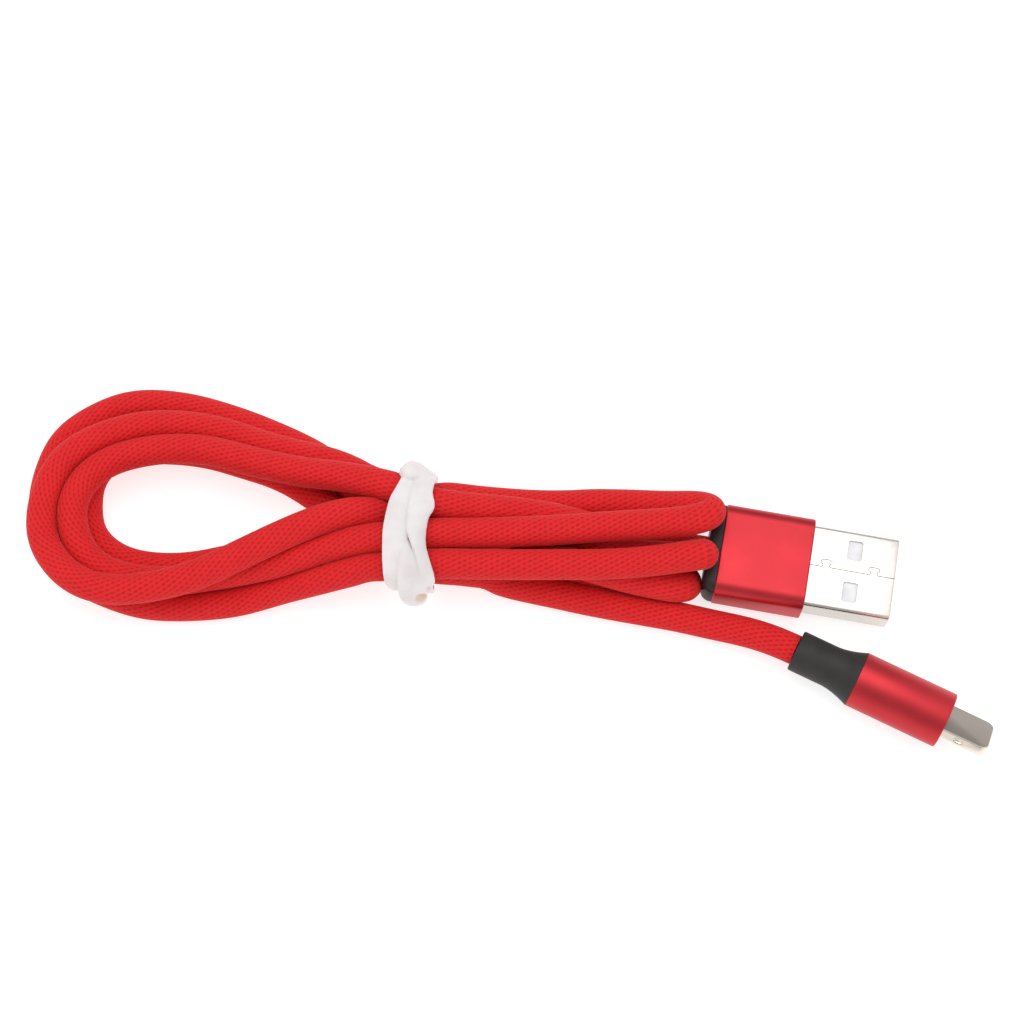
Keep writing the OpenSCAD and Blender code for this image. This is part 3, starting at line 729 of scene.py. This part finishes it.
def make_housing():
    h = HOUSING
    rings = [
        rounded_rect(x, h["width"], h["height"], h["corner"], A_Z, 10, inset, inset)
        for x, inset in box_ends(A_REAR, A_FRONT, 0.22)
    ]
    slot_w = SHELL["width"] + 2 * FIT
    slot_h = SHELL["height"] + 2 * FIT
    inner_w = h["width"] - 2 * h["wall"]
    inner_h = h["height"] - 2 * h["wall"]
    for x in (A_FRONT, A_FRONT - 0.08, A_FRONT - 1.0):
        grow = 0.08 if x == A_FRONT else 0.0
        rings.append(rounded_rect(x, slot_w + grow, slot_h + grow, SHELL["corner"] + FIT, A_Z, 10))
    for x in (A_FRONT - 1.0, A_REAR):
        rings.append(rounded_rect(x, inner_w, inner_h, h["corner"] - h["wall"], A_Z, 10))
    piece = loft("housing_shell", rings, A_FRAME, wrap=True, sharp=50)
    wear(piece, ANODISED)
    return own(piece, "a_housing", slot="red_anodised")


def make_cap():
    width = HOUSING["width"] - 2 * CAP["inset"]
    height = HOUSING["height"] - 2 * CAP["inset"]
    corner, edge = CAP["corner"], CAP["edge"]
    rear = A_REAR - CAP_L
    front = A_REAR + 0.02
    rings = [
        rounded_rect(rear + a * corner, width, height, corner, A_Z, 10, b * corner, b * edge)
        for a, b in edge_round(8)
    ]
    rings.append(rounded_rect(front, width, height, corner, A_Z, 10))
    rings.append(rounded_rect(front, 6.0, 5.0, corner, A_Z, 10))
    bore = CORD_R + FIT
    for x, r in ((front, bore), (rear + 0.15, bore), (rear, bore + 0.12)):
        rings.append(rounded_rect(x, 2 * r, 2 * r, r, A_Z, 10))
    piece = loft("rear_cap", rings, A_FRAME, wrap=True, sharp=50)
    wear(piece, CAP_BLACK)
    return own(piece, "a_end_cap", slot="dark_plastic")


def cut(piece, cutters):
    """Takes the cutters out of a piece, and removes them."""
    for cutter in cutters:
        tool = piece.modifiers.new("cut", "BOOLEAN")
        tool.operation = "DIFFERENCE"
        tool.solver = "EXACT"
        tool.object = cutter
    bpy.context.view_layer.update()
    evaluated = piece.evaluated_get(bpy.context.evaluated_depsgraph_get())
    mesh = bpy.data.meshes.new_from_object(evaluated)
    piece.modifiers.clear()
    piece.data = mesh
    for cutter in cutters:
        bpy.data.objects.remove(cutter)
    mesh.shade_smooth()
    mesh.set_sharp_from_angle(angle=math.radians(35))


def prism(name, outline, z0, z1, matrix, flare=0.0):
    """An upright block over a plan outline; flare widens its top."""
    outline = np.array(outline, float)
    out = outline - outline.mean(0)
    out /= np.linalg.norm(out, axis=1)[:, None]
    rings = [[(*p, z) for p in outline + grow * out] for z, grow in ((z0, 0.0), (z1, flare))]
    return loft(name, rings, matrix)


def round_outline(cx, cy, length, width, corner, per_corner=6):
    return [(cx + y, cy + z) for _, y, z in rounded_rect(0, length, width, corner, 0, per_corner)]


def seam_outline():
    """Thin strip along the shell's seam, with its two dovetails."""
    half_tail = [(-0.62, 0), (-0.50, 0.12), (-0.50, 0.45), (-0.78, 0.62), (-0.72, 1.0), (-0.45, 1.12)]
    tail = half_tail + [(-x, y) for x, y in reversed(half_tail)]
    gap = SEAM["half_gap"]
    middle = [(A_FRONT - 1, 0)]
    for centre in SEAM["dovetails"]:
        middle += [(A_FRONT + centre + x, y) for x, y in tail]
    middle.append((A_NOSE + 1, 0))
    line = np.array(middle, float)
    along = np.gradient(line, axis=0)
    normal = np.stack([-along[:, 1], along[:, 0]], 1)
    normal /= np.linalg.norm(normal, axis=1)[:, None]
    return [tuple(p) for p in np.vstack([line + gap * normal, (line - gap * normal)[::-1]])]


def make_seam(top):
    """The groove that the seam leaves in the top of the shell."""
    outline = seam_outline()
    total = len(outline)
    points = [(x, y, z) for z in (top - SEAM["depth"], top + 0.2) for x, y in outline]
    faces = []
    for k in range(total // 2 - 1):
        far = total - 1 - k
        faces.append((k, far, far - 1, k + 1))
        faces.append((total + k, total + k + 1, total + far - 1, total + far))
    faces += [(k, (k + 1) % total, (k + 1) % total + total, k + total) for k in range(total)]
    seam = link_mesh("seam_groove", [A_FRAME @ Vector(p) for p in points], faces, 1.0)
    fix_normals(seam)
    return seam


def make_shell():
    w, h, wall = SHELL["width"], SHELL["height"], SHELL["wall"]
    x0 = A_FRONT - SHELL["inside"]
    outer = [(x0, 0.0), (A_NOSE - 0.14, 0.0), (A_NOSE - 0.05, 0.03), (A_NOSE, 0.09)]
    rings = [rounded_rect(x, w, h, SHELL["corner"], A_Z, 8, i, i) for x, i in outer]
    inner = [(A_NOSE, wall - 0.09), (A_NOSE - 0.08, wall), (x0, wall)]
    rings += [rounded_rect(x, w, h, SHELL["corner"], A_Z, 8, i, i) for x, i in inner]
    piece = loft("connector_shell", rings, A_FRAME, wrap=True)
    top = A_Z + h / 2
    window_size = (WINDOW["length"], WINDOW["width"], WINDOW["corner"])
    cutters = []
    for sy in (-1, 1):
        hole = round_outline(A_FRONT + WINDOW["x"], WINDOW["y"] * sy, *window_size)
        cutters.append(prism("window_top", hole, A_Z, top + 0.01, A_FRAME, WINDOW["flare"]))
        cutters.append(prism("window_bottom", hole, A_Z - h, A_Z, A_FRAME))
    seam = make_seam(top)
    cut(piece, cutters + [seam])
    wear(piece, NICKEL)
    piece.data.materials.append(SEAM_SHADE)
    into_plug = A_FRAME.inverted()
    for face in piece.data.polygons:
        x, y, z = into_plug @ face.center
        in_groove = top - SEAM["depth"] - 0.01 < z < top - 0.004 and abs(y) < 1.4
        face.material_index = int(in_groove and A_FRONT < x < A_NOSE - 0.2)
    return own(piece, "a_shell", slot="steel_shell")


make_housing()
make_cap()
make_shell()

# ---- tab plug


def turned(name, profile, matrix):
    """A round piece from (x, radius) points."""
    return loft(name, [circle(x, r) for x, r in profile], matrix, wrap=True)


def make_barrel():
    r = BARREL["d"] / 2
    inner = r - BARREL["wall"]
    bevel = 0.16
    profile = [
        (T_REAR, inner), (T_REAR, r - 0.05), (T_REAR + 0.05, r), (T_FRONT - bevel, r),
        (T_FRONT - bevel / 3, r - bevel / 3), (T_FRONT, r - bevel), (T_FRONT, inner),
    ]
    piece = turned("barrel_shell", profile, T_FRAME)
    wear(piece, ANODISED)
    return own(piece, "tab_barrel", slot="red_anodised")


def make_boot():
    r0, r1 = BOOT["d"] / 2, BARREL["d"] / 2 - 0.01
    length = BOOT["length"]
    straight = BOOT["straight"] * length
    bore = CORD_R + FIT
    x0 = T_REAR - length
    profile = [(x0 + 0.1, bore), (x0, bore + 0.1), (x0, r0 - 0.3), (x0 + 0.06, r0 - 0.1), (x0 + 0.25, r0)]
    for k in range(17):
        f = k / 16
        profile.append((x0 + straight + f * (length - straight), r0 + (r1 - r0) * f ** BOOT["power"]))
    profile += [(T_REAR, bore + 0.6), (T_REAR - 0.5, bore)]
    piece = turned("strain_boot", profile, T_FRAME)
    wear(piece, RUBBER)
    return own(piece, "tab_boot", slot="black_rubber")


def tab_outline():
    """Plan of the tab, with round tip corners."""
    half, corner = TAB["width"] / 2, TAB["corner"]
    turns = np.linspace(0, math.pi / 2, 12)
    tip = [(T_TIP - corner + corner * math.sin(a), half - corner + corner * math.cos(a)) for a in turns]
    upper = [(T_FRONT - TAB["root"], half), *tip]
    return upper + [(x, -y) for x, y in reversed(upper)]


def detent_pocket(side):
    """The small oblong hollow in one narrow side of the tab."""
    d = DETENT
    steps = 9
    rings = []
    for k in range(steps):
        a = math.pi * (k + 0.5) / steps
        x = T_TIP - d["from_tip"] - d["half_length"] * math.cos(a)
        r = math.sin(a) ** 0.5
        rings.append([
            (x, side * TAB["width"] / 2 + d["half_depth"] * y, d["half_height"] * z)
            for _, y, z in circle(x, r, 20)
        ])
    return loft("detent", rings, T_FRAME)


def make_tab():
    half = TAB["height"] / 2
    outline = np.array(tab_outline())
    along = np.roll(outline, -1, 0) - np.roll(outline, 1, 0)
    inward = np.stack([along[:, 1], -along[:, 0]], 1)
    inward /= np.linalg.norm(inward, axis=1)[:, None]
    bevel = TAB["bevel"]
    lower = [(-half, bevel), (-half + bevel * 0.3, bevel * 0.3), (-half + bevel, 0)]
    rings = []
    for z, inset in lower + [(-z, inset) for z, inset in reversed(lower)]:
        rings.append([(p[0], p[1], z) for p in outline + inward * inset])
    piece = loft("tab_body", rings, T_FRAME, sharp=50)
    middle_x = T_TIP - POCKET["from_tip"] - POCKET["length"] / 2
    pocket = round_outline(middle_x, 0, POCKET["length"], POCKET["width"], POCKET["corner"])
    pocket = prism("contact_pocket", pocket, -half - 1, -half + POCKET["depth"], T_FRAME)
    cut(piece, [pocket, detent_pocket(1), detent_pocket(-1)])
    wear(piece, TAB_FACE)
    piece.data.materials.append(TAB_EDGE_POLISH_AND_HIGHLIGHT)
    # Flat faces take the face plating; sides and bevels take the lighter edge plating, a painted highlight
    # along them.
    up = (T_FRAME.to_3x3() @ Vector((0, 0, 1))).normalized()
    for face in piece.data.polygons:
        face.material_index = 0 if abs(face.normal.dot(up)) > 0.97 else 1
    return own(piece, "tab_frame", slot="tab_metal")


make_barrel()
make_boot()
make_tab()

# ---- tie
TIE_CLEAR = 0.32
TIE_T = 0.6
# The tie's left and right ends: x, and the stretch of the hank that each must clear
TIE_ENDS = ((-53.7, -55.0, -46.5), (-46.4, -48.5, -40.2))
TIE_MIDDLE = np.array([3.0, 6.5])
# The open end of the lobe: where its mouth is, its size, and the lip round it
HOLLOW = {"x": -48.4, "out": 0.75, "half_x": 0.85, "half_way": 1.0, "depth": 0.62, "lip": 0.12}


def waist_radii(x0, x1):
    """Distance from the tie's middle to a line just clear of the strands, for each degree."""
    inside = (cord_path[:, 0] > x0) & (cord_path[:, 0] < x1)
    centres = cord_path[inside][:, 1:]
    turn = np.radians(np.arange(360))
    out = np.stack([np.cos(turn), np.sin(turn)], 1)
    corners = centres[(centres @ out.T).argmax(0)] + (CORD_R + TIE_CLEAR) * out
    corners = np.vstack([corners, corners[:1]])
    s = length_along(corners)
    at = np.linspace(0, s[-1], 2000)
    line = np.stack([np.interp(at, s, corners[:, k]) for k in range(2)], 1) - TIE_MIDDLE
    angle = np.arctan2(line[:, 1], line[:, 0])
    radii = np.interp(turn, angle, np.linalg.norm(line, axis=1), period=2 * np.pi)
    for _ in range(6):
        radii = (np.roll(radii, 1) + 2 * radii + np.roll(radii, -1)) / 4
    return radii


WAIST = [waist_radii(x0, x1) for _, x0, x1 in TIE_ENDS]


def waist_radius(degrees, x):
    a = min(max((x - TIE_ENDS[0][0]) / (TIE_ENDS[1][0] - TIE_ENDS[0][0]), -0.2), 1.2)
    return float(np.interp(degrees, np.arange(360), (1 - a) * WAIST[0] + a * WAIST[1], period=360))


def on_waist(degrees, x, lift=0.0):
    """Point on the tie's inner side, so far round from the far side, and its normal."""
    ends = [math.radians(degrees + d) for d in (-1, 0, 1)]
    before, here, after = [
        TIE_MIDDLE + waist_radius(math.degrees(a), x) * np.array([math.cos(a), math.sin(a)]) for a in ends
    ]
    way = after - before
    normal = np.array([way[1], -way[0]]) / np.linalg.norm(way)
    return np.array([x, *(here + lift * normal)]), np.array([0, *normal])


def smooth_rows(keys, step=2.0, times=5):
    """Rows evenly spaced in the first column, through the keys, with soft corners."""
    keys = np.array(keys, float)
    at = np.linspace(keys[0, 0], keys[-1, 0], int(round((keys[-1, 0] - keys[0, 0]) / step)) + 1)
    rows = np.stack([np.interp(at, keys[:, 0], column) for column in keys.T], 1)
    return rounded(rows, times)


def ribbon(name, left, right, normals, crowns, thick, closed=False, around=32):
    """A soft strip between two edge lines, rounded at its edges."""
    turn = 2 * np.pi * np.arange(around) / around
    u = np.sign(np.cos(turn)) * np.abs(np.cos(turn)) ** 0.75
    h = np.sign(np.sin(turn)) * np.abs(np.sin(turn)) ** 0.75
    rings = []
    for a, b, n, crown, t in zip(left, right, normals, crowns, thick):
        across = a + (b - a) * ((u + 1) / 2)[:, None]
        rings.append(across + n * (crown * (1 - u * u) + t * (1 + h) / 2)[:, None])
    return loft(name, rings, Matrix.Identity(4), wrap=closed)


def band(name, keys, closed=False):
    """A strip round the waist.

    Keys are (degrees, left edge x, right edge x), then the crown and the lift at each edge,
    which are 0 where a key stops short of them.
    """
    rows = smooth_rows([(*key, *[0] * (6 - len(key)), TIE_T) for key in keys])
    rows = rows[:-1] if closed else rows
    left = [on_waist(r[0], r[1], r[4]) for r in rows]
    right = [on_waist(r[0], r[2], r[5]) for r in rows]
    normals = [(a[1] + b[1]) / 2 for a, b in zip(left, right)]
    left, right = [a[0] for a in left], [b[0] for b in right]
    return ribbon(name, left, right, normals, rows[:, 3], rows[:, 6], closed)


def make_lobe():
    """The end of the rubber: a tongue that leaves the top and curls under on the near side.

    Keys are (distance along, degrees, lift, left edge x, right edge x, crown, thickness).
    """
    rows = smooth_rows([
        (0, 113, 0.10, -50.6, -50.1, 0.0, 0.25), (1.0, 120, 0.15, -51.0, -49.6, 0.05, 0.5),
        (2.5, 131, 0.20, -51.3, -48.6, 0.15, 0.6), (4.0, 142, 0.35, -51.5, -47.9, 0.2, 0.6),
        (5.5, 152, 0.65, -51.65, -47.5, 0.25, 0.6), (7.0, 159, 1.15, -51.6, -47.4, 0.35, 0.65),
        (8.5, 165, 1.75, -51.4, -47.5, 0.45, 0.7), (10.0, 173, 2.05, -51.0, -47.8, 0.45, 0.7),
        (11.3, 182, 1.75, -50.5, -48.2, 0.3, 0.65), (12.4, 186, 1.10, -50.1, -48.7, 0.1, 0.55),
        (13.2, 187, 0.45, -49.7, -49.1, 0.0, 0.3),
    ], 0.3)
    middle = [on_waist(r[1], -49.5, r[2])[0] for r in rows]
    way = np.gradient(np.array(middle), axis=0)
    normals = np.stack([np.zeros(len(way)), way[:, 2], -way[:, 1]], 1)
    normals /= np.linalg.norm(normals, axis=1)[:, None]
    left = [np.array([r[3], m[1], m[2]]) for r, m in zip(rows, middle)]
    right = [np.array([r[4], m[1], m[2]]) for r, m in zip(rows, middle)]
    lobe = ribbon("tie_lobe", left, right, normals, rows[:, 5], rows[:, 6])
    at = int(np.argmin(np.abs(rows[:, 0] - 7.7)))
    mouth = (middle[at] + HOLLOW["out"] * normals[at], way[at] / np.linalg.norm(way[at]), normals[at])
    mouth[0][0] = HOLLOW["x"]
    return lobe, mouth


def melt(name, pieces, voxel=0.11, rounds=5):
    """One soft piece, in millimetres, from several that run into each other."""
    work = bmesh.new()
    for piece in pieces:
        work.from_mesh(piece.data)
        bpy.data.objects.remove(piece)
    mesh = bpy.data.meshes.new(name)
    work.to_mesh(mesh)
    work.free()
    body = bpy.data.objects.new(name, mesh)
    bpy.context.scene.collection.objects.link(body)
    skin = body.modifiers.new("skin", "REMESH")
    skin.mode = "VOXEL"
    skin.voxel_size = voxel
    graph = bpy.context.evaluated_depsgraph_get()
    melted = bpy.data.meshes.new_from_object(body.evaluated_get(graph))
    body.modifiers.clear()
    body.data = melted
    melted.name = name
    work = bmesh.new()
    work.from_mesh(melted)
    axes = {"use_axis_x": True, "use_axis_y": True, "use_axis_z": True}
    for _ in range(rounds):
        bmesh.ops.smooth_vert(work, verts=work.verts, factor=0.5, **axes)
    work.to_mesh(melted)
    work.free()
    return body


def hollow_out(body, mouth):
    """Presses the open, rolled end into the lobe, with a raised lip, and paints a warm shade inside it."""
    centre, way, normal = mouth
    side = np.array([1.0, 0, 0])
    points = np.empty(len(body.data.vertices) * 3)
    body.data.vertices.foreach_get("co", points)
    points = points.reshape(-1, 3)
    away = points - centre
    r = np.hypot(away @ side / HOLLOW["half_x"], away @ way / HOLLOW["half_way"])
    outer = np.clip((away @ normal + 0.45) / 0.2, 0, 1) * (np.abs(away @ normal) < 1.2)
    press = HOLLOW["depth"] * np.clip(1 - r * r, 0, 1) ** 0.8
    press -= HOLLOW["lip"] * np.exp(-((r - 1.12) / 0.14) ** 2)
    points -= (press * outer)[:, None] * normal
    body.data.vertices.foreach_set("co", points.ravel())
    body.data.materials.append(SILICONE_PAINTED_WARM_SHADE)
    # Faces deep in the hollow take the painted warm shade.
    inside = (r < 0.97) & (outer > 0.5)
    for face in body.data.polygons:
        face.material_index = int(inside[list(face.vertices)].all())


def lump(name, keys, lift=0.05, around=30):
    """A pulled lump of rubber on the waist. Keys are (x, degrees, half its width, height)."""
    rows = smooth_rows(keys, 0.2, 4)
    rings = []
    for x, degrees, half, height in rows:
        ring = []
        for k in range(around):
            a = 2 * math.pi * k / around
            rise = height * max(math.sin(a), 0) ** 0.9
            rise += lift + 0.25 * (1 + math.sin(a))
            ring.append(on_waist(degrees + half * math.cos(a), x, rise)[0])
        rings.append(ring)
    return loft(name, rings, Matrix.Identity(4))


def make_tie():
    left = band("tie_wrap_left", [
        (27, -51.2, -47.6), (37, -51.1, -48.0), (44, -51.1, -48.8), (50, -51.6, -49.2, 0.1),
        (55, -52.05, -49.3, 0.12), (62, -52.75, -49.4, 0.1), (76, -53.2, -49.6, 0.1),
        (89, -53.5, -49.6, 0.1), (102, -53.7, -49.6, 0.05), (119, -53.75, -50.4), (135, -53.7, -50.4),
        (151, -53.5, -50.4), (161, -53.3, -50.6), (197, -53.0, -50.8), (237, -53.2, -50.4),
        (317, -52.8, -50.0), (350, -52.0, -48.8), (387, -51.2, -47.6),
    ], closed=True)
    right = band("tie_wrap_right", [
        (-136, -49.2, -46.8), (-40, -49.0, -46.9), (-7, -48.9, -46.8),
        (21, -49.2, -46.6, 0, 0.35, 0.1), (39, -49.3, -46.5, 0.1, 0.35, 0.1),
        (47, -49.3, -46.5, 0.2, 0.2, 0.05), (51, -49.4, -46.45, 0.25, 0.2),
        (58, -49.8, -46.9, 0.3, 0.35), (64, -50.0, -46.6, 0.3, 0.45), (71, -50.15, -46.35, 0.3, 0.5),
        (78, -50.25, -46.5, 0.3, 0.5), (86, -50.35, -47.25, 0.3, 0.5), (102, -50.4, -47.55, 0.3, 0.55),
        (113, -50.1, -47.65, 0.3, 0.6), (122, -49.65, -47.6, 0.25, 0.75, 0.1),
        (132, -49.0, -47.15, 0.2, 0.8, 0.1), (143, -48.5, -46.45, 0.15, 0.7, 0.05),
        (153, -48.3, -46.3, 0.1, 0.4), (161, -48.3, -46.75, 0, 0.1), (176, -48.3, -46.8),
        (197, -48.8, -46.7), (221, -49.2, -46.8),
    ])
    lobe, mouth = make_lobe()
    knot = lump("tie_knot", [
        (-51.55, 40, 1.2, 0.05), (-51.3, 40, 4.7, 0.6), (-50.6, 40, 7.8, 1.45), (-49.8, 39, 9.6, 1.95),
        (-49.0, 39, 9.3, 1.8), (-48.3, 40, 7.8, 1.3), (-47.7, 42, 5.9, 0.7), (-47.0, 44, 4.3, 0.45),
        (-46.4, 46, 2.8, 0.35), (-46.1, 47, 0.9, 0.1),
    ])
    fold = lump("tie_knot_fold", [
        (-50.4, 33, 1.2, 0.1), (-49.9, 33, 4.3, 1.1), (-49.0, 33, 5.6, 1.5), (-48.2, 34, 5.0, 1.2),
        (-47.4, 37, 3.7, 0.85), (-46.6, 41, 2.8, 0.6), (-46.0, 43, 0.9, 0.15),
    ], lift=0.2)
    body = melt("tie_rubber_band", [left, right, lobe, knot, fold])
    wear(body, SILICONE)
    hollow_out(body, mouth)
    body.data.transform(Matrix.Scale(MM, 4))
    body.data.shade_smooth()
    own(body, "tie_band", slot="tie_rubber", body="tie")


make_tie()

# ---- stage


def make_floor():
    sh = Shader("pale_table")
    fine = sh.noise(60, 3.0)
    colour = sh.mix(fine, rgb(0.46, 0.46, 0.46), rgb(0.44, 0.44, 0.44))
    sh.finish(Base_Color=colour, Roughness=0.6, Specular_IOR_Level=0.2)
    sh.finish(Emission_Color=rgb(1, 1, 1), Emission_Strength=0.72)
    corners = [(x, y, 0) for x, y in ((-1.2, -1.2), (1.2, -1.2), (1.2, 1.2), (-1.2, 1.2))]
    floor = link_mesh("table", corners, [(0, 1, 2, 3)], 1.0)
    wear(floor, sh.material)


def make_world():
    """Even studio light, with a dimmer patch in front where a photographer stands."""
    world = bpy.data.worlds.new("studio")
    bpy.context.scene.world = world
    world.use_nodes = True
    nodes = Nodes(world.node_tree)
    where = nodes.node("TexCoord").outputs["Generated"]

    def patch(direction, near, full, dim, colour):
        dot = nodes.node("VectorMath", {"operation": "DOT_PRODUCT"})
        nodes.feed(dot.inputs[0], where)
        nodes.feed(dot.inputs[1], Vector(direction).normalized())
        return nodes.mix(nodes.between(dot.outputs["Value"], near, full), colour, dim)

    front = patch((0, -0.75, 0.66), 0.86, 0.97, rgb(0.46, 0.46, 0.47), rgb(1.0, 0.99, 0.98))
    both = patch((0, 1, 0.1), 0.55, 0.95, rgb(0.45, 0.45, 0.47), front)
    background = world.node_tree.nodes["Background"]
    nodes.feed(background.inputs["Color"], both)
    background.inputs["Strength"].default_value = 0.92


def make_light(name, place_at, aim, size, power):
    data = bpy.data.lights.new(name, "AREA")
    data.shape = "RECTANGLE"
    data.size, data.size_y = size
    data.energy = power
    light = bpy.data.objects.new(name, data)
    bpy.context.scene.collection.objects.link(light)
    light.location = place_at
    light.rotation_euler = (Vector(aim) - Vector(place_at)).to_track_quat("-Z", "Y").to_euler()


make_floor()
make_world()
make_light("overhead", (-0.03, 0.12, 0.62), (-0.03, 0.01, 0), (0.7, 0.5), 1.45)
bpy.context.scene.view_settings.view_transform = "Standard"
